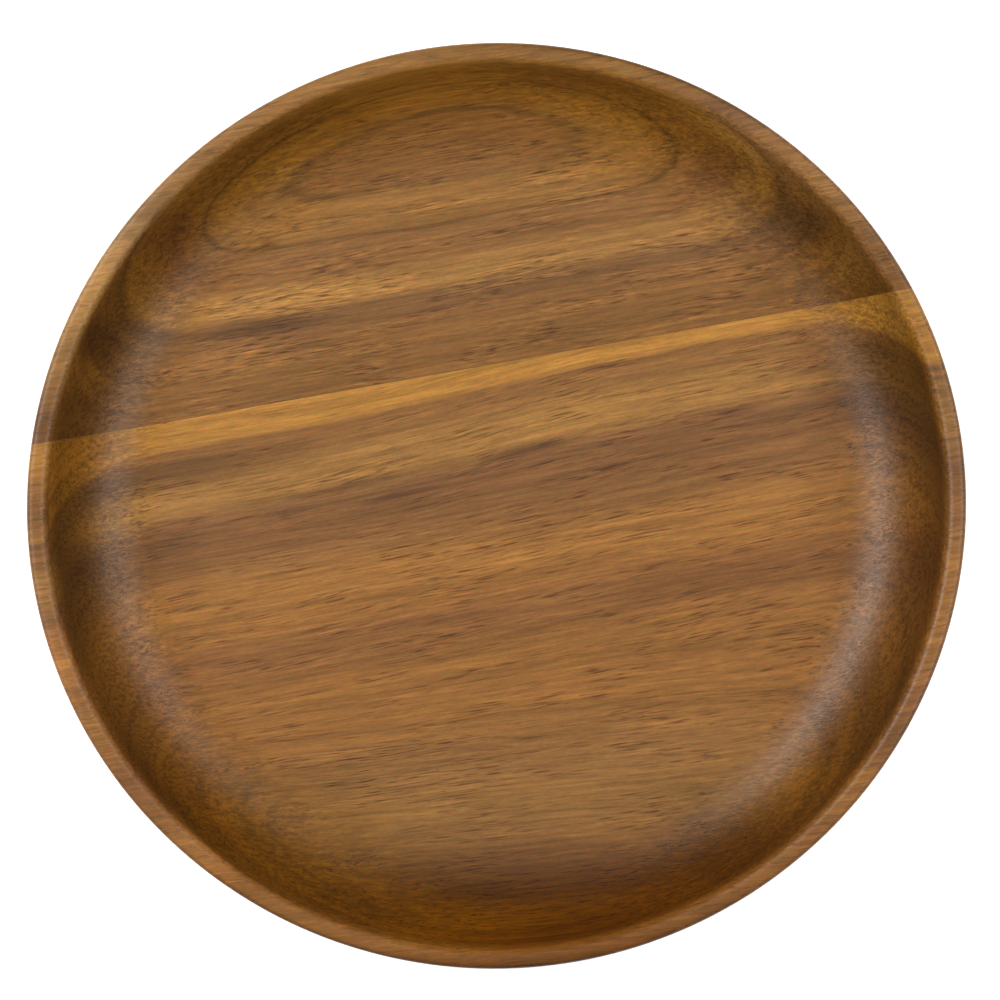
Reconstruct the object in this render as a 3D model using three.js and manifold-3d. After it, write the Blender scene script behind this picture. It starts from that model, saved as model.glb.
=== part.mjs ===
// Round wooden serving platter, turned from a blank of two boards glued edge to edge.
// Millimetres, +Z up. The origin is the centre of the foot. The grain and the glue line
// run along X, and the narrower board is on the +Y side.
import * as THREE from "three";
import { mergeVertices } from "three/addons/utils/BufferGeometryUtils.js";
import Module from "manifold-3d";

const wasm = await Module();
wasm.setup();

// Turned shape
const rimDiameter = 305;
const overallHeight = 38;
const floorThickness = 9;
const wallThickness = 6.5;
const wallRun = 36.5; // in plan, from the inner edge of the rim to the flat of the floor
const wallLean = THREE.MathUtils.degToRad(75); // of the lip, up from the table
const lipStraight = 1; // straight part of the wall, under the round of the rim
const coveFullness = 0.6; // how far the cove keeps to its floor and lip before it turns
const rimFlat = 0.7; // level strip along the top of the rim, between its two rounded edges
const footInset = 7; // foot edge, inside the flat of the floor
const footEase = 2; // half the run of the slope at the foot edge

// Movement of the wood: the disc dries narrower across the grain
const crossGrainShrinkage = 0.015;

// Edge joint
const jointOffset = 46; // glue line, from the centre of the platter
const glueThickness = 0.2;

// Facets
const turnSegments = 96;
const coveSteps = 12;
const rimSteps = 6;
const footSteps = 5;

const lipDirection = new THREE.Vector2(Math.cos(wallLean), Math.sin(wallLean));
const rimWidth = wallThickness / lipDirection.y; // of the square rim, before it is rounded
const rimRound = (rimWidth - rimFlat) / 2; // setback of each rounded edge

// The square corners of the rim. The outer one leans out past the widest point of its round.
function rimCorners() {
  const cornerOverhang = (rimRound * lipDirection.x) / (1 + lipDirection.x);
  const outer = new THREE.Vector2(rimDiameter / 2 + cornerOverhang, overallHeight);
  const inner = new THREE.Vector2(outer.x - rimWidth, overallHeight);
  return { inner, outer };
}

// Dish side of the wall: level with the floor at one end, in line with the lip at the other.
function coveCurve(innerCorner) {
  const floorEdge = new THREE.Vector2(innerCorner.x - wallRun, floorThickness);
  const lipFoot = innerCorner.clone().addScaledVector(lipDirection, -rimRound - lipStraight);
  const meeting = new THREE.Vector2(
    innerCorner.x - (overallHeight - floorThickness) / Math.tan(wallLean),
    floorThickness,
  );
  return new THREE.CubicBezierCurve(
    floorEdge,
    floorEdge.clone().lerp(meeting, coveFullness),
    lipFoot.clone().lerp(meeting, coveFullness),
    lipFoot,
  );
}

// Outside of the wall: the cove moved out by the wall thickness, square to itself.
function outsideOf(cove) {
  return cove.getPoints(coveSteps).map((point, i) => {
    const along = cove.getTangent(i / coveSteps);
    return new THREE.Vector2(
      point.x + along.y * wallThickness,
      point.y - along.x * wallThickness,
    );
  });
}

// Slope at the edge of the foot, level at its top and at its bottom.
function footEdge(floorRadius) {
  const footRadius = floorRadius - footInset;
  const footHeight = floorThickness - wallThickness;
  return new THREE.CubicBezierCurve(
    new THREE.Vector2(footRadius - footEase, 0),
    new THREE.Vector2(footRadius, 0),
    new THREE.Vector2(footRadius, footHeight),
    new THREE.Vector2(footRadius + footEase, footHeight),
  );
}

// Rounded edge where the wall meets the level top of the rim.
function rimEdge(corner, topDirection) {
  return new THREE.QuadraticBezierCurve(
    corner.clone().addScaledVector(lipDirection, -rimRound),
    corner,
    new THREE.Vector2(corner.x + topDirection * rimRound, corner.y),
  );
}

// Half section of the platter, from the middle of the foot round to the middle of the floor.
function halfSection() {
  const rim = rimCorners();
  const cove = coveCurve(rim.inner);
  return [
    new THREE.Vector2(0, 0),
    ...footEdge(cove.v0.x).getPoints(footSteps),
    ...outsideOf(cove),
    ...rimEdge(rim.outer, -1).getPoints(rimSteps),
    ...rimEdge(rim.inner, 1).getPoints(rimSteps).reverse(),
    ...cove.getPoints(coveSteps).reverse(),
    new THREE.Vector2(0, floorThickness),
  ];
}

// The whole disc as it comes off the lathe and dries.
function turnedDisc() {
  const disc = new THREE.LatheGeometry(halfSection(), turnSegments);
  disc.rotateX(Math.PI / 2);
  disc.scale(1, 1 - crossGrainShrinkage, 1);
  return disc;
}

// A plank of the blank between two lines across the grain, larger than the disc all round.
function plank(fromY, toY) {
  const spare = 10;
  const length = rimDiameter + 2 * spare;
  const depth = overallHeight + 2 * spare;
  const box = new THREE.BoxGeometry(length, toY - fromY, depth);
  box.translate(0, (fromY + toY) / 2, overallHeight / 2);
  return box;
}

// Closed solid of a geometry, for cutting.
function solidOf(geometry) {
  const bare = geometry.clone();
  bare.deleteAttribute("normal");
  bare.deleteAttribute("uv");
  const merged = mergeVertices(bare);
  return new wasm.Manifold(
    new wasm.Mesh({
      numProp: 3,
      vertProperties: new Float32Array(merged.attributes.position.array),
      triVerts: new Uint32Array(merged.index.array),
    }),
  );
}

function geometryOf(solid) {
  const mesh = solid.getMesh();
  const geometry = new THREE.BufferGeometry();
  geometry.setAttribute("position", new THREE.BufferAttribute(mesh.vertProperties, 3));
  geometry.setIndex(new THREE.BufferAttribute(mesh.triVerts, 1));
  geometry.computeVertexNormals();
  return geometry;
}

// Brown heartwood under an oiled satin finish.
function narrowBoardWood() {
  return new THREE.MeshStandardMaterial({ color: "#8b5e38", roughness: 0.45, metalness: 0 });
}

// Lighter tan heartwood that runs out into golden sapwood at the joint.
function wideBoardWood() {
  return new THREE.MeshStandardMaterial({ color: "#99693c", roughness: 0.45, metalness: 0 });
}

// Cured wood glue, honey brown.
function curedGlue() {
  return new THREE.MeshStandardMaterial({ color: "#6b4424", roughness: 0.5, metalness: 0 });
}

// One piece of the glued blank, turned with the rest of the disc.
function turnedPiece(name, disc, fromY, toY, material) {
  const mesh = new THREE.Mesh(geometryOf(disc.intersect(solidOf(plank(fromY, toY)))), material);
  mesh.name = name;
  return mesh;
}

const disc = solidOf(turnedDisc());
const blankEdge = rimDiameter;
const narrowFace = jointOffset + glueThickness / 2;
const wideFace = jointOffset - glueThickness / 2;

const group = new THREE.Group();
group.name = "serving_platter";
group.add(turnedPiece("narrow_board", disc, narrowFace, blankEdge, narrowBoardWood()));
group.add(turnedPiece("wide_board", disc, -blankEdge, wideFace, wideBoardWood()));
group.add(turnedPiece("glue_line", disc, wideFace, narrowFace, curedGlue()));

export default group;
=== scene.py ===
# %% [markdown]
# # A turned acacia serving platter
# The platter is two acacia boards glued edge to edge and turned to a shallow dish on a lathe.
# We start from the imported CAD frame, because it fixes where everything is, in metres. Its
# solids are faceted, so smooth pieces made here will stand in for them.

# %% Load the frame
import math
import bpy
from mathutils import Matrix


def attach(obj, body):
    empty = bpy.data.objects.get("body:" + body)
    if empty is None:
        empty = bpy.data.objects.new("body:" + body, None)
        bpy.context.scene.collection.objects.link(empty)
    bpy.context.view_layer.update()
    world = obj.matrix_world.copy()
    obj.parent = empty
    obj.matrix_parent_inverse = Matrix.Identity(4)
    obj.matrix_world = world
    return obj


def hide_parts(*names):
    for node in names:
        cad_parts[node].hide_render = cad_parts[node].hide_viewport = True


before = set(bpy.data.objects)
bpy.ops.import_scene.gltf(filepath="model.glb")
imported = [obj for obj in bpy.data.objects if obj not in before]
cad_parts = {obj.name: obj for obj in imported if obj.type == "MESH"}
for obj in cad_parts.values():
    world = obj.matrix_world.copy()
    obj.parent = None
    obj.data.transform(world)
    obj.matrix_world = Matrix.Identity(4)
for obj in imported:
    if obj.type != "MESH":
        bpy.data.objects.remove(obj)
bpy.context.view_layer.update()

# %% [markdown]
# ## The half section
# Everything round on the platter comes from one line: the half section that the turner follows
# with the gouge. It could be drawn as a Bezier curve object, but a short formula keeps the
# same sizes as the CAD solids and lets us choose how finely each stretch is stepped.
# Sizes are in millimetres here, and turn into metres when the mesh is made.

# %% Sizes of the turned section
MM = 0.001
rim_radius = 152.49  # a hair inside the CAD rim, whose facets fall short of the circle
height = 38.0
floor_thickness = 9.0
wall_thickness = 6.5
wall_run = 36.5  # in plan, from the inner edge of the rim to the flat of the floor
wall_lean = math.radians(75.0)  # of the lip, up from the table
lip_straight = 1.0  # straight part of the wall, under the round of the rim
cove_fullness = 0.6  # how far the cove keeps to its floor and lip before it turns
rim_flat = 0.7  # level strip between the two rounded edges of the rim
foot_inset = 7.0  # from the edge of the flat floor in to the middle of the foot's side
foot_ease = 2.0  # how far that side curves in and out from its middle
lip_run, lip_rise = math.cos(wall_lean), math.sin(wall_lean)
rim_width = wall_thickness / lip_rise
rim_round = (rim_width - rim_flat) / 2


def between(a, b, share):
    """The point at a share of the way from a to b."""
    return (a[0] + (b[0] - a[0]) * share, a[1] + (b[1] - a[1]) * share)


def curve_points(corners, steps):
    """Points on the Bezier curve of any number of corners."""
    points = []
    for i in range(steps + 1):
        level = corners
        while len(level) > 1:
            level = [between(a, b, i / steps) for a, b in zip(level, level[1:])]
        points.append(level[0])
    return points


def down_lip(corner, length):
    """The point that lies a length below a corner of the rim, along the lean of the lip."""
    return (corner[0] - lip_run * length, corner[1] - lip_rise * length)


print("rim is", round(rim_width, 2), "mm wide")

# %% Dish side: floor edge, cove and lip
cove_steps = 48
outer_corner = (rim_radius + rim_round * lip_run / (1 + lip_run), height)
inner_corner = (outer_corner[0] - rim_width, height)
floor_edge = (inner_corner[0] - wall_run, floor_thickness)
lip_top = down_lip(inner_corner, rim_round)
lip_foot = down_lip(inner_corner, rim_round + lip_straight)
meeting = (inner_corner[0] - (height - floor_thickness) / math.tan(wall_lean), floor_thickness)
cove_corners = [
    floor_edge,
    between(floor_edge, meeting, cove_fullness),
    between(lip_foot, meeting, cove_fullness),
    lip_foot,
]
cove = curve_points(cove_corners, cove_steps)
print("flat of the floor out to", round(floor_edge[0], 1), "mm")

# %% Outside of the wall: the cove moved out by the wall thickness, square to itself
outside = []
points_before = [(0.0, floor_thickness)] + cove
points_after = cove[1:] + [lip_top]
for before, point, after in zip(points_before, cove, points_after):
    run, rise = after[0] - before[0], after[1] - before[1]
    out = wall_thickness / math.hypot(run, rise)
    outside.append((point[0] + rise * out, point[1] - run * out))
outside[0] = (floor_edge[0], floor_thickness - wall_thickness)
print("outside of the wall has", len(outside), "points")

# %% Soft rim edges and foot
rim_steps = 14
foot_steps = 10
ring_shares = (0.99, 0.66, 0.33, 0.0)  # rings on the two flats, as shares of their radius
outer_edge = curve_points(
    [down_lip(outer_corner, rim_round), outer_corner, (outer_corner[0] - rim_round, height)], rim_steps)
inner_edge = curve_points([(inner_corner[0] + rim_round, height), inner_corner, lip_top], rim_steps)
foot_radius = floor_edge[0] - foot_inset
foot_height = floor_thickness - wall_thickness
foot_corners = [
    (foot_radius - foot_ease, 0.0),
    (foot_radius, 0.0),
    (foot_radius, foot_height),
    (foot_radius + foot_ease, foot_height),
]
foot = curve_points(foot_corners, foot_steps)
floor_rings = [(floor_edge[0] * share, floor_thickness) for share in ring_shares]
foot_rings = [(foot[0][0] * share, 0.0) for share in reversed(ring_shares)]
half_section = foot_rings + foot + outside + outer_edge + inner_edge + cove[::-1] + floor_rings
print("half section has", len(half_section), "points")

# %% [markdown]
# ## The disc on the lathe
# A lathe turns the wood against the tool, and Blender's Spin tool does the same with an edge
# chain. We add a plane, keep one of its corners, extrude that corner along the half section
# and spin the chain round the upright axis. Then the doubles along the seam and at the two
# poles are merged, and the normals are made to point outwards.

# %% Draw the half section
plane_size = 2 * MM
bpy.ops.object.select_all(action="DESELECT")
bpy.ops.mesh.primitive_plane_add(size=plane_size, location=(0, 0, 0))
disc = bpy.context.object
disc.name = "turned_disc"
bpy.ops.object.mode_set(mode="EDIT")
bpy.ops.mesh.select_all(action="DESELECT")
bpy.ops.object.mode_set(mode="OBJECT")
for corner in disc.data.vertices[1:]:
    corner.select = True
bpy.ops.object.mode_set(mode="EDIT")
bpy.ops.mesh.select_mode(type="VERT")
bpy.ops.mesh.delete(type="VERT")
bpy.ops.mesh.select_all(action="SELECT")
bpy.ops.transform.translate(value=(plane_size / 2, plane_size / 2, 0))
for here, there in zip(half_section, half_section[1:]):
    move = ((there[0] - here[0]) * MM, 0, (there[1] - here[1]) * MM)
    bpy.ops.mesh.extrude_region_move(TRANSFORM_OT_translate={"value": move})

# %% Spin it round
turn_steps = 240
seam_gap = 0.01 * MM  # doubles closer than this are merged
cross_grain = 0.985  # wood dries narrower across the grain, so the disc ends up slightly oval
bpy.ops.mesh.select_all(action="SELECT")
bpy.ops.mesh.spin(steps=turn_steps, angle=math.tau, center=(0, 0, 0), axis=(0, 0, 1))
bpy.ops.mesh.select_all(action="SELECT")
bpy.ops.mesh.remove_doubles(threshold=seam_gap)
bpy.ops.mesh.normals_make_consistent(inside=False)
bpy.ops.transform.resize(value=(1, cross_grain, 1))
bpy.ops.object.mode_set(mode="OBJECT")
print("turned disc:", len(disc.data.polygons), "faces,", [round(v, 4) for v in disc.dimensions])

# %% [markdown]
# ## Two boards and the glue between them
# On the real platter the boards were glued first and turned together, so the joint is one
# flat plane through everything. We copy the disc once for each piece and cut the copies with
# Bisect, which also fills the cut face.

# %% Cut the disc at the glue line
joint = 46.0 * MM  # from the centre of the platter
film = 0.2 * MM  # thickness of the glue
on_the_plane = 1e-7  # metres: points this close to a cut lie on it
sharp_edge = math.radians(35)  # the sawn edges of the joint stay sharp, the turned ones smooth


def cut_piece(name, cuts):
    """A copy of the disc, cut by planes across the grain: (y, keep the far side or not)."""
    bpy.ops.object.select_all(action="DESELECT")
    bpy.context.view_layer.objects.active = disc
    disc.select_set(True)
    bpy.ops.object.duplicate()
    piece = bpy.context.object
    piece.name = piece.data.name = name
    bpy.ops.object.mode_set(mode="EDIT")
    for y, keep_far in cuts:
        bpy.ops.mesh.select_all(action="SELECT")
        bpy.ops.mesh.bisect(plane_co=(0, y, 0), plane_no=(0, 1, 0), use_fill=True,
                            clear_inner=keep_far, clear_outer=not keep_far, threshold=on_the_plane)
    bpy.ops.mesh.select_all(action="SELECT")
    bpy.ops.mesh.normals_make_consistent(inside=False)
    bpy.ops.object.mode_set(mode="OBJECT")
    bpy.ops.object.shade_smooth_by_angle(angle=sharp_edge)
    print(name, [round(v / MM, 1) for v in piece.dimensions], "mm,", len(piece.data.polygons), "faces")
    return piece


far_face, near_face = joint + film / 2, joint - film / 2
narrow_board = cut_piece("narrow_board_turned", [(far_face, True)])
wide_board = cut_piece("wide_board_turned", [(near_face, False)])
glue_line = cut_piece("glue_line_film", [(near_face, True), (far_face, False)])
bpy.data.objects.remove(disc)

# %% [markdown]
# ## Adding nodes
# A wood material takes a few hundred nodes, so one small function adds a node, fills in its
# settings and links its inputs. Colours are written as the hex values that a colour picker
# shows, and turned to linear light by one function.

# %% Node and colour helpers
EASED = {"interpolation_type": "SMOOTHSTEP"}  # a Map Range that starts and ends softly
TINT = {"data_type": "RGBA", "blend_type": "MULTIPLY"}  # a Mix that multiplies colours


def linear(hex_colour):
    """sRGB hex to linear RGBA."""
    channels = [int(hex_colour[i:i + 2], 16) / 255 for i in (1, 3, 5)]
    return [c / 12.92 if c <= 0.04045 else ((c + 0.055) / 1.055) ** 2.4 for c in channels] + [1.0]


def add_node(tree, kind, settings=None, links=None):
    """Adds a node. Settings are its properties, input values or ramp stops; links go to its inputs."""
    node = tree.nodes.new(kind)
    for name, value in (settings or {}).items():
        if name == "stops":
            ramp = node.color_ramp.elements
            while len(ramp) < len(value):
                ramp.new(0.5)
            for stop, (place, colour) in zip(ramp, value):
                stop.position, stop.color = place, colour
        elif isinstance(name, int) or name in node.inputs:
            node.inputs[name].default_value = value
        else:
            setattr(node, name, value)
    for name, socket in (links or {}).items():
        tree.links.new(socket, node.inputs[name])
    return node


# %% [markdown]
# ## Where a point lies in the trunk
# Wood is a solid pattern: the saw and the gouge only decide where we see it. A trunk is built
# of layers round its pith, and its fibres and pores run along it. So the material first works
# out where each point lies in the trunk: how far along it, and how far from the pith. Loops
# where the dish cuts a layer, and dots where the wall cuts across the pores, then come by
# themselves, also on the sides that the photo doesn't show. The only unevenness is noise,
# stretched along the trunk, and each use of it has a size in millimetres.

# %% Grain of a real size


def stretched_grain(tree, place, seed, size, detail):
    """Noise drawn out to a size in mm along, across and through the board."""
    # each seed looks at another part of the noise
    stretch = {"Location": (seed, seed * 0.7, seed * 1.3), "Scale": [1 / s for s in size]}
    mapping = add_node(tree, "ShaderNodeMapping", stretch, {"Vector": place})
    fractal = {"Scale": 1.0, "Detail": detail, "Roughness": 0.6}
    return add_node(tree, "ShaderNodeTexNoise", fractal, {"Vector": mapping.outputs[0]})


# %% Along the trunk and out from the pith
wander_size = (130, 50, 50)
layer_wander = 1.2  # mm that the layers stray along the trunk
noise_span = {"From Min": 0.25, "From Max": 0.75, "clamp": False}  # where most of the noise lies


def leaning_grain(tree, axes, drifts):
    """Socket for the place across the board, where the grain leans.

    A drift is a span of y that the lean fades in over, a span of x, and how far the grain
    moves across the board at the two ends of that span.
    """
    across = axes.outputs["Y"]
    for y_span, x_span, shift_span in drifts:
        fade_in = {**EASED, "From Min": y_span[0], "From Max": y_span[1]}
        fade = add_node(tree, "ShaderNodeMapRange", fade_in, {"Value": axes.outputs["Y"]})
        shift = {"From Min": x_span[0], "From Max": x_span[1]}
        shift.update({"To Min": shift_span[0], "To Max": shift_span[1]})
        lean = add_node(tree, "ShaderNodeMapRange", shift, {"Value": axes.outputs["X"]})
        moved = add_node(tree, "ShaderNodeMath", {"operation": "MULTIPLY_ADD"},
                         {0: fade.outputs[0], 1: lean.outputs[0], 2: across})
        across = moved.outputs[0]
    return across


def trunk_place(tree, pith, seed, drifts):
    """Sockets for the place in mm, the place along the fibres and the layer. pith is (y, z) in mm."""
    metres = add_node(tree, "ShaderNodeTexCoord")
    place = add_node(tree, "ShaderNodeVectorMath", {"operation": "SCALE", "Scale": 1 / MM},
                     {0: metres.outputs["Object"]})
    axes = add_node(tree, "ShaderNodeSeparateXYZ", links={0: place.outputs[0]})
    across = leaning_grain(tree, axes, drifts)
    fibre = add_node(tree, "ShaderNodeCombineXYZ",
                     links={"X": axes.outputs["X"], "Y": across, "Z": axes.outputs["Z"]})
    out_from = {"operation": "MULTIPLY_ADD", 1: (0.0, 1.0, 1.0), 2: (0.0, -pith[0], -pith[1])}
    from_pith = add_node(tree, "ShaderNodeVectorMath", out_from, {0: fibre.outputs[0]})
    distance = add_node(tree, "ShaderNodeVectorMath", {"operation": "LENGTH"}, {0: from_pith.outputs[0]})
    slow = stretched_grain(tree, fibre.outputs[0], seed, wander_size, detail=2)
    stray = {**noise_span, "To Min": -layer_wander, "To Max": layer_wander}
    wander = add_node(tree, "ShaderNodeMapRange", stray, {"Value": slow.outputs["Fac"]})
    layer = add_node(tree, "ShaderNodeMath", {"operation": "ADD"},
                     {0: distance.outputs["Value"], 1: wander.outputs[0]})
    return place.outputs[0], fibre.outputs[0], layer.outputs[0]


# %% [markdown]
# ## Colour by layer
# Each growth layer has a tone of its own, from golden sapwood under the bark to brown
# heartwood. We list where the layers meet the flat floor of the dish, which is easy to see,
# and work out their distance from the pith. Streak noise makes their edges ragged.

# %% Tone of the layers
edge_size = (40, 1.3, 1.3)
ragged_edge = 0.5  # mm


def layer_tone(tree, fibre, layer, pith, floor_layers, seed):
    """Colour by layer. floor_layers are (y on the dish floor in mm, colour)."""
    edge = stretched_grain(tree, fibre, seed, edge_size, detail=3)
    tear = {**noise_span, "To Min": -ragged_edge, "To Max": ragged_edge}
    torn = add_node(tree, "ShaderNodeMapRange", tear, {"Value": edge.outputs["Fac"]})
    ragged = add_node(tree, "ShaderNodeMath", {"operation": "ADD"}, {0: layer, 1: torn.outputs[0]})
    down_to_pith = floor_thickness - pith[1]
    layers = sorted((math.hypot(y - pith[0], down_to_pith), colour) for y, colour in floor_layers)
    first, last = layers[0][0], layers[-1][0]
    share = add_node(tree, "ShaderNodeMapRange", {"From Min": first, "From Max": last},
                     {"Value": ragged.outputs[0]})
    stops = [((distance - first) / (last - first), linear(colour)) for distance, colour in layers]
    tone = add_node(tree, "ShaderNodeValToRGB", {"stops": stops}, {"Fac": share.outputs[0]})
    return tone.outputs["Color"]


# %% [markdown]
# ## Light and shade of the fibres
# Fibres lighten and darken the tone in streaks: long soft bands that follow the layers, and
# streaks of half a millimetre to two that only follow the trunk. Acacia is interlocked: its
# fibres swing a little to and fro across the trunk, so the streaks wave. Oil makes a streak
# deeper where more of it has soaked in, so the depth of the streaks is an exponent that grows
# where the wall cuts the fibres. The same oil drowns the brightest of them there. Last comes
# a mottle as fine as the picture can show, a little different in red, green and blue.

# %% Streaks and mottle
# sizes are in mm along, across and through the board; a depth is how far it lightens and darkens
swing_size, swing_width = (45, 12, 12), 2.0  # the width is in mm across the trunk
band_size, band_depth = (170, 3.4, 1), 0.14
streak_size, streak_depth = (40, 1.3, 1.3), 0.21
thread_size, thread_depth = (7, 0.7, 0.7), 0.11
grain_span = {"From Min": 0.3, "From Max": 0.7}  # the middle part of the noise
soaked_depth = 1.3  # added to the exponent where the fibres are cut straight across
brightest, drowned_brightest = 1.5, 0.95  # where fibres lie along the surface, and where it cuts them
mottle_size, mottle_depth = (1.5, 0.7, 0.7), (0.48, 0.48, 0.56)
mottle_least = (0.76, 0.76, 0.59)  # the middle of the blue is under 1, which warms the wood


def interlocked(tree, fibre, seed):
    """The place along fibres that swing to and fro across the trunk."""
    swing = stretched_grain(tree, fibre, seed + 4, swing_size, detail=0)
    sway = {"operation": "MULTIPLY_ADD", 1: (0.0, swing_width, 0.0)}
    swung = add_node(tree, "ShaderNodeVectorMath", sway, {0: swing.outputs["Color"], 2: fibre})
    return swung.outputs[0]


def fibre_shade(tree, fibre, layer, end_grain, seed):
    """A factor for the tone, and the threads by themselves."""
    axes = add_node(tree, "ShaderNodeSeparateXYZ", links={0: fibre})
    layered = add_node(tree, "ShaderNodeCombineXYZ", links={"X": axes.outputs["X"], "Y": layer})
    bands = stretched_grain(tree, layered.outputs[0], seed, band_size, detail=3)
    streaks = stretched_grain(tree, fibre, seed + 5, streak_size, detail=2)
    threads = stretched_grain(tree, fibre, seed + 9, thread_size, detail=1)
    shade = None
    for grain, depth in ((bands, band_depth), (streaks, streak_depth), (threads, thread_depth)):
        around_one = {**grain_span, "To Min": 1 - depth, "To Max": 1 + depth, "clamp": False}
        factor = add_node(tree, "ShaderNodeMapRange", around_one, {"Value": grain.outputs["Fac"]})
        if shade:
            factor = add_node(tree, "ShaderNodeMath", {"operation": "MULTIPLY"},
                              {0: shade.outputs[0], 1: factor.outputs[0]})
        shade = factor
    drown = {"operation": "MULTIPLY_ADD", 1: drowned_brightest - brightest, 2: brightest}
    cap = add_node(tree, "ShaderNodeMath", drown, {0: end_grain})
    capped = add_node(tree, "ShaderNodeMath", {"operation": "MINIMUM"},
                      {0: shade.outputs[0], 1: cap.outputs[0]})
    soak = {"operation": "MULTIPLY_ADD", 1: soaked_depth, 2: 1.0}
    exponent = add_node(tree, "ShaderNodeMath", soak, {0: end_grain})
    deepened = add_node(tree, "ShaderNodeMath", {"operation": "POWER"},
                        {0: capped.outputs[0], 1: exponent.outputs[0]})
    mottle = stretched_grain(tree, fibre, seed + 2, mottle_size, detail=1)
    tinge = {"operation": "MULTIPLY_ADD", 1: mottle_depth, 2: mottle_least}
    tinged = add_node(tree, "ShaderNodeVectorMath", tinge, {0: mottle.outputs["Color"]})
    shaded = add_node(tree, "ShaderNodeVectorMath", {"operation": "SCALE"},
                      {0: tinged.outputs[0], "Scale": deepened.outputs[0]})
    return shaded.outputs[0], threads.outputs["Fac"]


# %% [markdown]
# ## Patches
# Near a branch the wood takes a smoky or a bright patch, sapwood shows in the corners of the
# joint, and the rim has paler and darker places. Other patches are painted light and shade: a
# painted sheen on the right wall, painted light on the lip of the narrow board, and painted
# shade round the outer edge of the rim. Each is a soft ball in the wood that multiplies the
# colour. It could be painted on, but a ball goes right through the wood, so the outside of
# the wall carries it too.

# %% Soft patches
patch_middle = 20.0  # mm up from the table
patch_reach = 40.0  # mm up and down from there, so that it goes right through
patch_core = 0.8  # from this share of the way to its middle, a patch is at full strength


def soft_spot(tree, fibre, x, y, size_x, size_y):
    """1 in the middle of a spot in the wood, fading to 0 at its size."""
    ball = {"Location": (-x / size_x, -y / size_y, -patch_middle / patch_reach),
            "Scale": (1 / size_x, 1 / size_y, 1 / patch_reach)}
    inside = add_node(tree, "ShaderNodeMapping", ball, {"Vector": fibre})
    fading = add_node(tree, "ShaderNodeTexGradient", {"gradient_type": "SPHERICAL"},
                      {"Vector": inside.outputs[0]})
    spot = add_node(tree, "ShaderNodeMapRange", {**EASED, "From Max": patch_core},
                    {"Value": fading.outputs["Fac"]})
    return spot.outputs[0]


def add_patches(tree, fibre, colour, patches, zone):
    """Soft patches on the colour, within a zone if there is one.

    A patch is (x, y, size x, size y, factors of red, green and blue), in mm.
    """
    for *place, tint in patches:
        spot = soft_spot(tree, fibre, *place)
        if zone:
            spot = add_node(tree, "ShaderNodeMath", {"operation": "MULTIPLY"}, {0: spot, 1: zone}).outputs[0]
        colour = add_node(tree, "ShaderNodeMix", {**TINT, 7: (*tint, 1.0)}, {0: spot, 6: colour}).outputs[2]
    return colour


# %% [markdown]
# ## Pores and flecks
# Acacia has pores that the eye can see: dark dashes where they lie in the surface, dots where
# the wall cuts across them. They crowd together in some places and leave others smooth, and
# the fibres that bend round them catch the light. Noise stretched along the trunk gives both:
# its peaks are pores and its dips are bright fibres, wherever a slower noise lets them show.
# A real pore is about 0.2 mm wide. Here it is drawn about half a millimetre wide, because a
# pixel of the picture is a third of a millimetre and a finer line would be lost.

# %% Crowded dashes
pore_span = (0.53, 0.7)  # of the noise, from where a pore starts to where it is darkest
bright_span = (0.46, 0.3)  # the same for the bright fibres
crowd_size, crowd_span = (30, 6, 6), (0.42, 0.62)  # in mm, and from sparse to crowded in the noise
sparse = 0.2  # how strongly pores show where they don't crowd
filled_on_rim = 0.5  # hands and sanding have filled half of the pores on the rim


def pore_marks(tree, fibre, seed, size, spiral, crowded, under_rim):
    """How dark the pores are and how bright the fibres beside them, from 0 to 1.

    size is that of a dash in mm, and spiral is how many degrees the dashes lean to the layers.
    crowded are places with more of them, or fewer: (x, y, size x, size y, how much).
    """
    turn = {"Rotation": (0.0, 0.0, -math.radians(spiral))}
    leaning = add_node(tree, "ShaderNodeMapping", turn, {"Vector": fibre})
    dashes = stretched_grain(tree, leaning.outputs[0], seed, size, detail=1)
    crowd = stretched_grain(tree, fibre, seed + 3, crowd_size, detail=1).outputs["Fac"]
    for *place, much in crowded:
        more = {0: soft_spot(tree, fibre, *place), 2: crowd}
        crowd = add_node(tree, "ShaderNodeMath", {"operation": "MULTIPLY_ADD", 1: much}, more).outputs[0]
    show = {**EASED, "From Min": crowd_span[0], "From Max": crowd_span[1], "To Min": sparse}
    shown = add_node(tree, "ShaderNodeMapRange", show, {"Value": crowd})
    wear = {"operation": "MULTIPLY_ADD", 1: filled_on_rim, 2: 1 - filled_on_rim}
    worn = add_node(tree, "ShaderNodeMath", wear, {0: under_rim})
    visible = add_node(tree, "ShaderNodeMath", {"operation": "MULTIPLY"},
                       {0: shown.outputs[0], 1: worn.outputs[0]})
    marks = []
    for weakest, strongest in (pore_span, bright_span):
        span = {**EASED, "From Min": weakest, "From Max": strongest}
        mark = add_node(tree, "ShaderNodeMapRange", span, {"Value": dashes.outputs["Fac"]})
        seen = add_node(tree, "ShaderNodeMath", {"operation": "MULTIPLY"},
                        {0: mark.outputs[0], 1: visible.outputs[0]})
        marks.append(seen.outputs[0])
    return marks


# %% [markdown]
# ## Where oil and hands have worked, and where shade is painted
# Oil gathers on the steep wall, where it is hard to wipe off, and turns amber as it cures. That
# amber also stands in for shade: it paints the steep wall deeper and more saturated. End
# grain drinks more oil, and light sinks in along the fibres there, so the wall is deep brown
# where it is cut across the trunk, even by a few degrees. Hands rub the top of the rim bare,
# so it is pale again, and the oil fades in over the few millimetres under it. Shade is painted
# round the outer edge of the rim and in a dark line at the very edge. Each of these places is
# a zone: a value from 0 to 1 that is worked out from the height of a point, the way that the
# surface faces there, or the distance from the axis.

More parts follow.
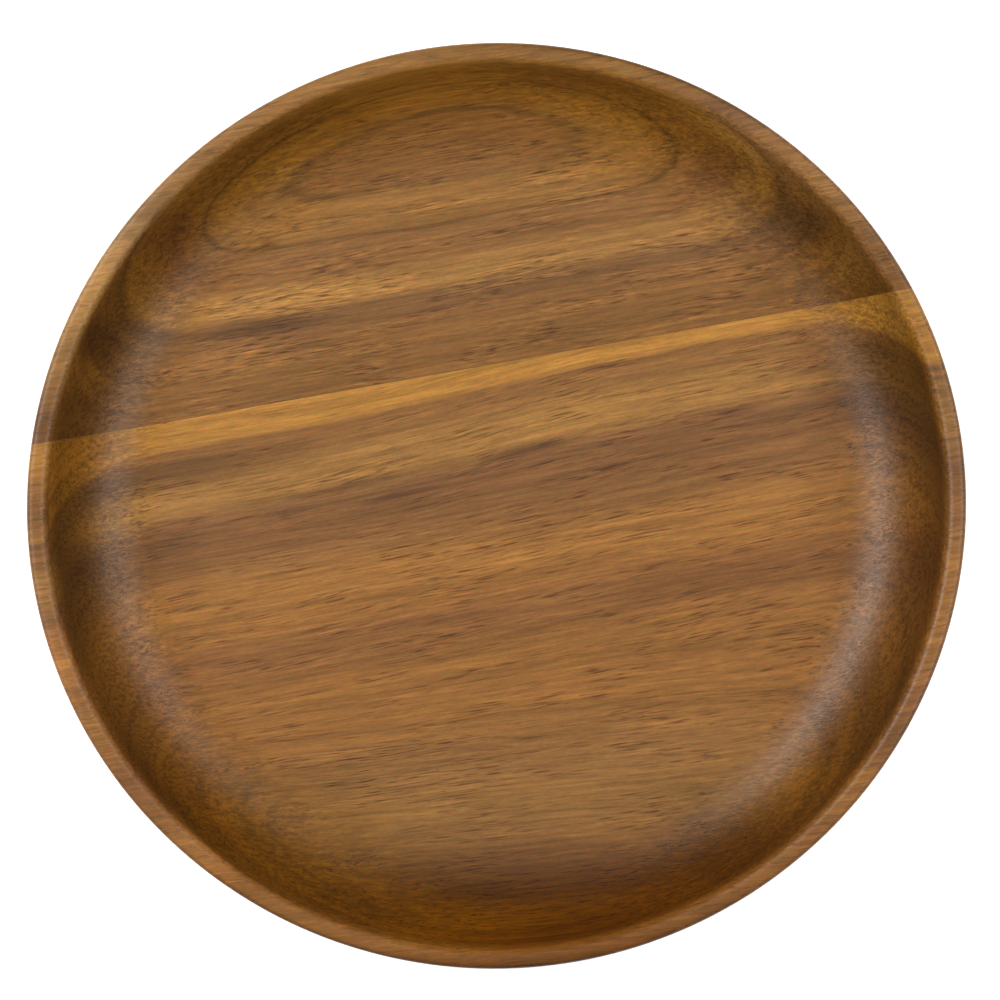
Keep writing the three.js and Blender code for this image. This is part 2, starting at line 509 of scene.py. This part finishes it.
# %% Oil and painted shade on the wall, and the end grain
film_whole = 8.0  # mm under the top of the rim
film_curve = 0.5  # exponent: under 1, so that the film starts steeply
steep_wall = 0.64  # sine of the slope from which the film is whole


def oil_and_shade_zones(tree, sloped_height):
    """Sockets for the end grain, oil whose amber paints shade too, and all that is under the rim."""
    surface = add_node(tree, "ShaderNodeNewGeometry")
    facing = add_node(tree, "ShaderNodeSeparateXYZ", links={0: surface.outputs["Normal"]})
    below = {"From Min": height, "From Max": height - film_whole}
    drop = add_node(tree, "ShaderNodeMapRange", below, {"Value": sloped_height})
    under_rim = add_node(tree, "ShaderNodeMath", {"operation": "POWER", 1: film_curve}, {0: drop.outputs[0]})
    across_cut = add_node(tree, "ShaderNodeMath", {"operation": "ABSOLUTE"}, {0: facing.outputs["X"]})
    end_grain = add_node(tree, "ShaderNodeMath", {"operation": "MULTIPLY"},
                         {0: across_cut.outputs[0], 1: under_rim.outputs[0]})
    sideways = add_node(tree, "ShaderNodeVectorMath", {"operation": "MULTIPLY", 1: (1.0, 1.0, 0.0)},
                        {0: surface.outputs["Normal"]})
    slope = add_node(tree, "ShaderNodeVectorMath", {"operation": "LENGTH"}, {0: sideways.outputs[0]})
    oil_film_and_shade = add_node(tree, "ShaderNodeMapRange", {"From Max": steep_wall},
                        {"Value": slope.outputs["Value"], "To Max": under_rim.outputs[0]})
    return end_grain.outputs[0], oil_film_and_shade.outputs[0], under_rim.outputs[0]


# %% Zones of the surface
rim_zone_slope = 0.011  # the zones of the rim slope, reaching further down on the left
bare_from, bare_whole = 3.0, 0.2  # mm under the top: where the bare rim starts, and where it is quite bare
lip_from, lip_whole = 17.0, 5.0  # mm under the top: where the lip starts, and where it is all lip
film_on_wall = 0.75  # share of the film from which a place is all wall
edge_from = 4.5  # mm in from the outline, where the painted shade of the outer edge starts
line_from, line_whole = 1.6, 0.3  # mm in from the outline: where the dark line of painted shade starts and is darkest


def surface_zones(tree, place, lip_fade):
    """Sockets for the zones by name. The wall and lip zones fade out lip_fade mm under the top."""
    axes = add_node(tree, "ShaderNodeSeparateXYZ", links={0: place})
    sloped_height = add_node(tree, "ShaderNodeMath", {"operation": "MULTIPLY_ADD", 1: -rim_zone_slope},
                    {0: axes.outputs["X"], 2: axes.outputs["Z"]}).outputs[0]
    end_grain, oil_film_and_shade, under_rim = oil_and_shade_zones(tree, sloped_height)
    bare = {**EASED, "From Min": height - bare_from, "From Max": height - bare_whole}
    rim_top = add_node(tree, "ShaderNodeMapRange", bare, {"Value": sloped_height})
    fade = {**EASED, "From Min": height - bare_whole, "From Max": height - lip_fade}
    below_rim = add_node(tree, "ShaderNodeMapRange", fade, {"Value": sloped_height})
    wall = add_node(tree, "ShaderNodeMapRange", {**EASED, "From Max": film_on_wall},
                    {"Value": oil_film_and_shade, "To Max": below_rim.outputs[0]})
    upper_wall = {**EASED, "From Min": height - lip_from, "From Max": height - lip_whole}
    lip = add_node(tree, "ShaderNodeMapRange", upper_wall,
                   {"Value": axes.outputs["Z"], "To Max": below_rim.outputs[0]})
    round_plan = {"operation": "MULTIPLY", 1: (1.0, 1.0 / cross_grain, 0.0)}
    from_axis = add_node(tree, "ShaderNodeVectorMath", round_plan, {0: place})
    radius = add_node(tree, "ShaderNodeVectorMath", {"operation": "LENGTH"}, {0: from_axis.outputs[0]})
    # painted shade: the rounding of the outer edge turns away from the light
    rounding = {**EASED, "From Min": rim_radius - edge_from, "From Max": rim_radius}
    outer_edge = add_node(tree, "ShaderNodeMapRange", rounding, {"Value": radius.outputs["Value"]})
    # painted shade: a dark line at the very edge of the rim
    hairline = {**EASED, "From Min": rim_radius - line_from, "From Max": rim_radius - line_whole}
    outline = add_node(tree, "ShaderNodeMapRange", hairline, {"Value": radius.outputs["Value"]})
    return {"end grain": end_grain, "oil film and shade": oil_film_and_shade, "under rim": under_rim, "all over": None,
            "wall": wall.outputs[0], "lip": lip.outputs[0], "rim top": rim_top.outputs[0],
            "shaded outer edge": outer_edge.outputs[0], "outline": outline.outputs[0]}


# %% [markdown]
# ## The oiled surface
# The surface was sanded fine and oiled: a satin sheen that the pores break up. Sanding leaves
# the rim a little uneven, because it is narrow and the paper rolls over it, so its highlight
# wavers. These are height differences of a few hundredths of a millimetre, too small to
# model, so they are a bump.

# %% Satin with a fine relief
satin = {"IOR": 1.48, "Specular IOR Level": 0.36}  # cured oil, which doesn't close the grain
dull, shiny = 0.44, 0.36  # roughness of the fibres that took most and least oil
rubbed_dull = 0.04  # added to it on the bare rim
pore_pit = -0.6  # relief is in units of the bump's distance
ripple_size, rim_ripple = (7, 7, 7), 6.0  # in mm, and its height in the same units as the pits
relief_height = {"Strength": 0.3, "Distance": 0.2 * MM}


def oiled_surface(tree, place, colour, threads, dark, rim_top, seed):
    """The shader of the oiled wood, linked to the output."""
    shine = add_node(tree, "ShaderNodeMapRange", {**grain_span, "To Min": dull, "To Max": shiny},
                     {"Value": threads})
    rubbed = add_node(tree, "ShaderNodeMath", {"operation": "MULTIPLY_ADD", 1: rubbed_dull},
                      {0: rim_top, 2: shine.outputs[0]})
    pitted = add_node(tree, "ShaderNodeMath", {"operation": "MULTIPLY_ADD", 1: pore_pit},
                      {0: dark, 2: threads})
    ripples = stretched_grain(tree, place, seed + 6, ripple_size, detail=1)
    rippled = add_node(tree, "ShaderNodeMath", {"operation": "MULTIPLY", 1: rim_ripple}, {0: rim_top})
    relief = add_node(tree, "ShaderNodeMath", {"operation": "MULTIPLY_ADD"},
                      {0: ripples.outputs["Fac"], 1: rippled.outputs[0], 2: pitted.outputs[0]})
    bump = add_node(tree, "ShaderNodeBump", relief_height, {"Height": relief.outputs[0]})
    body = add_node(tree, "ShaderNodeBsdfPrincipled", satin,
                    {"Base Color": colour, "Roughness": rubbed.outputs[0], "Normal": bump.outputs[0]})
    add_node(tree, "ShaderNodeOutputMaterial", links={"Surface": body.outputs[0]})


# %% [markdown]
# ## Acacia, oiled to a satin
# Now the parts come together in the order in which the real board got them: the tone of its
# layers, the streaks, the patches, then the bright fibres and pores, and last what oil and
# hands did. Some of the patches and the amber of the oil paint light and shade as well. Each
# of these multiplies the colour, as a stain does. Both boards share this function, because
# they are the same wood from different places in a trunk.

# %% The whole material
patch_zones = ("all over", "wall", "lip", "rim top", "shaded outer edge", "outline")
pore_tint = linear("#b4a6a0")
sunk_light = linear("#a3a19d")  # of end grain
# amber of the cured oil, which also paints the deeper, more saturated shade of the steep wall
amber_oil_and_wall_shade = linear("#fff197")
bare_wood = linear("#f2efec")
glint_green, glint_blue = 0.98, 0.85  # of its red, so that the bright fibres are warm
drowned_glint = 0.7  # share of the bright fibres that the oil on the steep wall hides
filled_pores = 0.55  # share of the pores that oil fills on end grain


def acacia(name, seed, pith, floor_layers, drifts, patches, lip_fade, pores):
    """Oiled acacia of one board. patches go by zone; pores have a size, spiral, crowds and sparkle."""
    wood = bpy.data.materials.new(name)
    wood.use_nodes = True
    tree = wood.node_tree
    tree.nodes.clear()
    place, fibre, layer = trunk_place(tree, pith, seed, drifts)
    zones = surface_zones(tree, place, lip_fade)
    tone = layer_tone(tree, fibre, layer, pith, floor_layers, seed)
    swung = interlocked(tree, fibre, seed)
    shade, threads = fibre_shade(tree, swung, layer, zones["end grain"], seed)
    dark, bright = pore_marks(tree, swung, seed, pores["size"], pores["spiral"], pores["crowded"],
                              zones["under rim"])
    streaked = add_node(tree, "ShaderNodeVectorMath", {"operation": "MULTIPLY"}, {0: tone, 1: shade})
    colour = streaked.outputs[0]
    for zone in patch_zones:
        colour = add_patches(tree, fibre, colour, patches[zone], zones[zone])
    unoiled = add_node(tree, "ShaderNodeMath", {"operation": "MULTIPLY_ADD", 1: -drowned_glint, 2: 1.0},
                       {0: zones["oil film and shade"]})
    glint = add_node(tree, "ShaderNodeMath", {"operation": "MULTIPLY"}, {0: bright, 1: unoiled.outputs[0]})
    unfilled = add_node(tree, "ShaderNodeMath", {"operation": "MULTIPLY_ADD", 1: -filled_pores, 2: 1.0},
                        {0: zones["end grain"]})
    pits = add_node(tree, "ShaderNodeMath", {"operation": "MULTIPLY"}, {0: dark, 1: unfilled.outputs[0]})
    sparkle = pores["sparkle"]
    warm_glint = (sparkle, sparkle * glint_green, sparkle * glint_blue, 1.0)
    tints = [(glint.outputs[0], warm_glint), (pits.outputs[0], pore_tint), (zones["end grain"], sunk_light),
             (zones["oil film and shade"], amber_oil_and_wall_shade), (zones["rim top"], bare_wood)]
    for amount, tint in tints:
        colour = add_node(tree, "ShaderNodeMix", {**TINT, 7: tint}, {0: amount, 6: colour}).outputs[2]
    oiled_surface(tree, place, colour, threads, dark, zones["rim top"], seed)
    print(name, len(tree.nodes), "nodes")
    return wood


# %% [markdown]
# ## The narrow board
# This board is brown heartwood. Its layers lie nearly flat at the top of the picture, where the
# rising cove cuts them in closed loops. A smoky streak and two bright, crowded bands cross its
# left half. Layers and patches are chosen one by one and compared with the photo. Their places are
# in millimetres from the centre of the platter: x along the grain and y across it.

# %% Brown heartwood with a looped figure
line, dark_brown, brown, tan, light_tan = "#704d29", "#7c5634", "#865b34", "#8d6233", "#9c6f3e"
smoke, glow = (0.6, 0.58, 0.62), (1.2, 1.2, 1.15)
narrow_layers = [
    (46, "#82582f"), (58, "#845a31"), (65, brown), (69, dark_brown), (72, dark_brown),
    (76, light_tan), (82, light_tan), (85.5, brown), (94.6, "#8a5f37"), (95.4, "#6e4b28"),
    (96.3, "#895f32"), (104, "#936636"), (107.2, tan), (108.5, line), (110.2, brown),
    (118, "#7b532f"), (138, "#79522f"),
]
narrow_patches = {
    "all over": [
        # smoky wood, in the streak and where the layers turn
        (-65, 71, 30, 6, smoke), (-119, 76, 14, 12, smoke), (-92, 92, 24, 18, (0.8, 0.76, 0.85)),
        (92, 95, 15, 10, (0.76, 0.73, 0.85)), (100, 81, 14, 9, (0.75, 0.75, 0.85)),
        (114, 73, 16, 10, (0.64, 0.66, 1.0)),
        # bright bands, and paler wood above them
        (-50, 79, 55, 7, glow), (-74, 62, 26, 7, glow), (-105, 100, 55, 40, (1.15, 1.15, 1.2)),
    ],
    "wall": [
        # pale corners at the joint, with a painted sheen on the right one, and greyer wood above it
        (134, 57, 24, 15, (1.4, 1.55, 2.6)), (-128, 67, 13, 10, (1.5, 1.55, 1.45)),
        (112, 92, 44, 44, (0.97, 1.0, 1.5)),
        # darker at the top and on the upper left
        (0, 131, 80, 9, (0.78, 0.76, 0.8)), (-92, 108, 18, 14, (0.68, 0.62, 0.8)),
    ],
    # painted light: the lip is paler on the upper right and at the top
    "lip": [(112, 92, 60, 60, (2.0, 2.3, 3.4)), (-10, 145, 70, 16, (1.3, 1.35, 1.2))],
    "rim top": [
        # paler on both sides, darker at the top and by the joint
        (-115, 96, 60, 62, (2.0, 2.4, 2.4)), (118, 93, 42, 42, (1.2, 1.22, 1.1)),
        (38, 143, 50, 20, (0.78, 0.78, 0.75)), (-143, 54, 14, 14, (0.7, 0.66, 0.8)),
    ],
    # painted shade in the rounding, where it turns away from the light, and a dark line of painted shade at
    # the very edge
    "shaded outer edge": [(50, 135, 80, 50, (0.8, 0.78, 0.72))],
    "outline": [(80, 130, 90, 75, (0.35, 0.3, 0.25))],
}
narrow_pores = {
    "size": (7, 0.5, 0.5), "spiral": 0.0, "sparkle": 1.45,
    "crowded": [(-53, 79, 55, 9, 0.25), (-74, 62, 30, 8, 0.25)],
}
narrow_wood = acacia("oiled_acacia_narrow_board", seed=13.7, pith=(138.5, -43.0), floor_layers=narrow_layers,
                     drifts=[], patches=narrow_patches, lip_fade=3.0, pores=narrow_pores)

# %% [markdown]
# ## The wide board
# This board is tan heartwood that runs out into golden sapwood at the joint. It was sawn
# further from the pith, so its layers are nearly straight, and they lean a little near the
# joint and at the bottom. Thin shadows lie along a brown layer in the middle.

# %% Tan heartwood with a sapwood edge
sapwood, gold, orange, brown, tan = "#b27c3b", "#9b6e3d", "#9f6c39", "#805736", "#946334"
shadow = (0.6, 0.58, 0.66)
wide_layers = [
    (56, sapwood), (40.0, sapwood), (37.8, "#885c34"), (32, "#926539"), (28, gold), (20, gold),
    (14, brown), (7, "#7d5433"), (-5, "#8d6038"), (-13, orange), (-18, orange), (-26, tan),
    (-33, "#885a34"), (-40, "#895b33"), (-47, tan), (-68, tan), (-84, "#90643a"), (-97, "#8a6136"),
    (-104, "#8c6238"), (-110, "#8a5f36"),
]
# the lean at the bottom, and the one near the joint
wide_drifts = [((-42, -80), (-110, 110), (-8.8, 8.8)), ((-10, 20), (-50, 40), (2.5, -2.5))]
wide_patches = {
    "all over": [
        # smoky and bright places near the joint
        (-95, 31, 60, 9, smoke), (128, 18, 30, 22, smoke), (35, 23, 55, 8, glow),
        (110, 26, 18, 8, (0.8, 0.72, 0.85)),
        # thin shadows
        (-46, 16.7, 30, 2.6, shadow), (14, 15.5, 24, 2.6, shadow), (-31, 10, 22, 2.2, shadow),
        (82, 14.6, 16, 2.2, shadow),
        # a brown band, and the darker ends of the floor
        (75, -34, 70, 9, (0.85, 0.82, 0.82)), (-108, -2, 18, 26, (0.82, 0.8, 0.78)),
        (109, -20, 16, 45, (0.88, 0.87, 0.88)),
        # brown corners and bottom
        (92, -100, 60, 50, (0.88, 0.86, 0.8)), (-95, -105, 60, 45, (0.9, 0.86, 0.6)),
        (0, -152, 100, 22, (0.72, 0.64, 0.45)), (-12, -116, 60, 9, (0.74, 0.7, 0.76)),
        # golden bands in them
        (-100, -92, 25, 8, (1.2, 1.2, 0.9)), (92, -99, 30, 6, (1.2, 1.2, 0.9)),
        (-50, -100, 30, 5, (1.1, 1.1, 1.05)),
    ],
    "wall": [
        # sapwood corners at the joint, with a painted sheen on the right one
        (139, 40, 24, 17, (1.6, 1.85, 4.0)), (144, 27, 10, 13, (1.6, 1.8, 2.0)),
        (-138, 40, 24, 15, (1.2, 1.2, 1.1)),
        # dark and greyish wood under them, and a painted sheen on the right wall
        (147, 4, 16, 20, (0.8, 0.8, 1.0)), (-142, 9, 16, 14, (0.66, 0.6, 0.8)),
        (132, 0, 26, 40, (1.0, 1.02, 1.4)), (137, -42, 15, 18, (0.68, 0.62, 0.85)),
        # deep brown bottom, with a golden streak
        (0, -135, 150, 60, (0.46, 0.34, 0.05)), (0, -125, 60, 11, (0.74, 0.72, 0.66)),
        (62, -121, 38, 18, (0.7, 0.66, 0.5)), (110, -88, 45, 45, (0.8, 0.8, 0.78)),
        (-112, -84, 45, 45, (0.82, 0.8, 0.58)), (-42, -140, 46, 14, (1.5, 1.62, 0.7)),
    ],
    "lip": [
        # paler on the left, deep brown on both sides of the bottom
        (-147, 0, 20, 30, (1.25, 1.3, 1.35)), (112, -95, 55, 50, (0.72, 0.7, 0.6)),
        (-126, -80, 40, 40, (0.66, 0.64, 0.5)),
    ],
    "rim top": [
        # darker places by the joint
        (-149, 28, 16, 19, (0.36, 0.33, 0.55)), (151, 3, 16, 15, (0.36, 0.37, 0.7)),
        (148, 30, 12, 14, (0.87, 0.8, 0.87)),
        # paler
        (-150, -24, 14, 20, (2.2, 2.1, 1.45)), (-118, -102, 26, 22, (1.4, 1.5, 1.8)),
        (148, -30, 14, 18, (1.2, 1.22, 1.2)), (132, -66, 20, 18, (1.2, 1.25, 1.2)),
        (98, -106, 26, 20, (1.25, 1.35, 1.45)),
        # browner bottom
        (0, -150, 120, 60, (1.04, 0.93, 0.5)),
    ],
    # painted shade in the rounding, where it turns away from the light, and a dark line of painted shade at
    # the very edge
    "shaded outer edge": [(0, -150, 130, 75, (0.58, 0.53, 0.42))],
    "outline": [(-60, -130, 150, 110, (0.38, 0.33, 0.28))],
}
wide_pores = {
    "size": (9, 0.45, 0.45), "spiral": 2.5, "sparkle": 1.2,
    "crowded": [(0, 43, 170, 8, -0.3), (-5, -15, 90, 14, 0.12), (65, -48, 55, 14, 0.12),
                (-40, -84, 60, 16, 0.12), (0, -132, 125, 25, 0.2)],
}
wide_wood = acacia("oiled_acacia_wide_board", seed=41.3, pith=(-140.0, -100.0), floor_layers=wide_layers,
                   drifts=wide_drifts, patches=wide_patches, lip_fade=6.5, pores=wide_pores)

# %% [markdown]
# ## Cured glue
# The film of wood glue in the joint was sanded and oiled flush with the boards. It shows as a
# hairline, a little darker and more even than the wood on each side. Where the film is thick
# it is darker, so slow noise runs its colour from brown to honey.

# %% Glue material
thick_place = 16.7 * MM  # size of a thick or a thin place in the film
thick_brown, thin_honey = (0.3, linear("#5c3d22")), (0.7, linear("#7d5730"))
cured = {"Roughness": 0.4, "IOR": 1.47}
glue = bpy.data.materials.new("cured_wood_glue")
glue.use_nodes = True
tree = glue.node_tree
tree.nodes.clear()
metres = add_node(tree, "ShaderNodeTexCoord")
along = add_node(tree, "ShaderNodeMapping", {"Scale": [1 / thick_place] * 3},
                 {"Vector": metres.outputs["Object"]})
thick = add_node(tree, "ShaderNodeTexNoise", {"Scale": 1.0, "Detail": 3.0}, {"Vector": along.outputs[0]})
honey = add_node(tree, "ShaderNodeValToRGB", {"stops": [thick_brown, thin_honey]},
                 {"Fac": thick.outputs["Fac"]})
body = add_node(tree, "ShaderNodeBsdfPrincipled", cured, {"Base Color": honey.outputs["Color"]})
add_node(tree, "ShaderNodeOutputMaterial", links={"Surface": body.outputs[0]})
print(glue.name, len(tree.nodes), "nodes")

# %% [markdown]
# ## Put the pieces in the frame
# Each smooth piece stands for its CAD node and rides on the only body, because nothing on the
# platter moves.

# %% Dress the frame
dressed = [(narrow_board, "narrow_board", narrow_wood), (wide_board, "wide_board", wide_wood),
           (glue_line, "glue_line", glue)]
for piece, node, material in dressed:
    piece.data.materials.clear()
    piece.data.materials.append(material)
    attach(piece, "root")
    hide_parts(node)
print("dressed", [node for piece, node, material in dressed])

# %% [markdown]
# ## Floor and light
# The platter lies on a plain white sweep between two softboxes, one on the left and a wider
# one on the right, both about halfway up. They leave the floor of the dish even and draw a
# soft sheen on the cove opposite each box. A weak fill in front lifts the far wall.

# %% White floor
floor_size = 12.0
floor_drop = 0.3 * MM  # a hair under the foot, so that the two faces don't fight
bpy.ops.object.select_all(action="DESELECT")
bpy.ops.mesh.primitive_plane_add(size=floor_size, location=(0, 0, -floor_drop))
sweep = bpy.context.object
sweep.name = "white_floor"
white = bpy.data.materials.new("white_sweep")
white.use_nodes = True
# matt paper, which glows so that it comes out plain white and throws light up at the rim
paper = white.node_tree.nodes["Principled BSDF"]
paper.inputs["Base Color"].default_value = linear("#e8e8e8")
paper.inputs["Roughness"].default_value = 0.9
paper.inputs["Emission Color"].default_value = linear("#ffffff")
paper.inputs["Emission Strength"].default_value = 0.75
sweep.data.materials.append(white)
print("floor", floor_size, "m wide")

# %% Softboxes and fill
photo_turn = math.radians(-10.1)  # the glue line rises to the right by this angle in the picture
right = (math.cos(photo_turn), math.sin(photo_turn))
up = (-math.sin(photo_turn), math.cos(photo_turn))


def softbox(name, bearing, lift, reach, size, power):
    """A rectangular light aimed at the dish. bearing is from the picture's right, anticlockwise."""
    turned, lifted = math.radians(bearing), math.radians(lift)
    rightwards = math.cos(turned) * math.cos(lifted) * reach
    upwards = math.sin(turned) * math.cos(lifted) * reach
    x = right[0] * rightwards + up[0] * upwards
    y = right[1] * rightwards + up[1] * upwards
    z = math.sin(lifted) * reach
    aim = (0, math.pi / 2 - lifted, math.atan2(y, x))
    bpy.ops.object.light_add(type="AREA", location=(x, y, z), rotation=aim)
    box = bpy.context.object
    box.name = name
    box.data.shape = "RECTANGLE"
    box.data.size, box.data.size_y = size
    box.data.energy = power
    print(name, [round(v, 2) for v in box.location])


softbox("left_softbox", bearing=162, lift=51, reach=1.4, size=(0.41, 0.9), power=15.6)
softbox("right_softbox", bearing=4, lift=51.6, reach=1.4, size=(0.64, 1.3), power=11.9)
softbox("front_fill", bearing=270, lift=35, reach=1.6, size=(1.2, 0.8), power=1.3)
world = bpy.data.worlds.new("soft_fill")
bpy.context.scene.world = world
world.use_nodes = True
room = world.node_tree.nodes["Background"]
room.inputs["Color"].default_value = linear("#ffffff")
room.inputs["Strength"].default_value = 0.05

# %% [markdown]
# ## Camera
# The photo is taken straight down with a long lens. The camera is turned so that the glue
# line rises to the right, and moved a little so that the rim sits in the frame as it does there.

# %% Camera straight above
picture_size = 1000  # pixels
rim_diameter, rim_in_picture = 305.0, 940.6  # along the grain, in mm and in pixels
centre_left, centre_down = 3.5, 5.8  # pixels from the middle of the picture to that of the platter
pixel = rim_diameter / rim_in_picture * MM  # size of a picture pixel at the rim
camera_height = 2.5
sensor = 36.0
shift_right, shift_up = centre_left * pixel, centre_down * pixel
x = right[0] * shift_right + up[0] * shift_up
y = right[1] * shift_right + up[1] * shift_up
bpy.ops.object.camera_add(location=(x, y, camera_height), rotation=(0, 0, photo_turn))
camera = bpy.context.object
camera.name = "photo_camera"
camera.data.sensor_width = sensor
camera.data.lens = sensor * (camera_height - height * MM) / (picture_size * pixel)
camera.data.clip_end = 50.0
bpy.context.scene.camera = camera
bpy.context.scene.view_settings.view_transform = "Standard"
print("lens", round(camera.data.lens, 1), "mm")
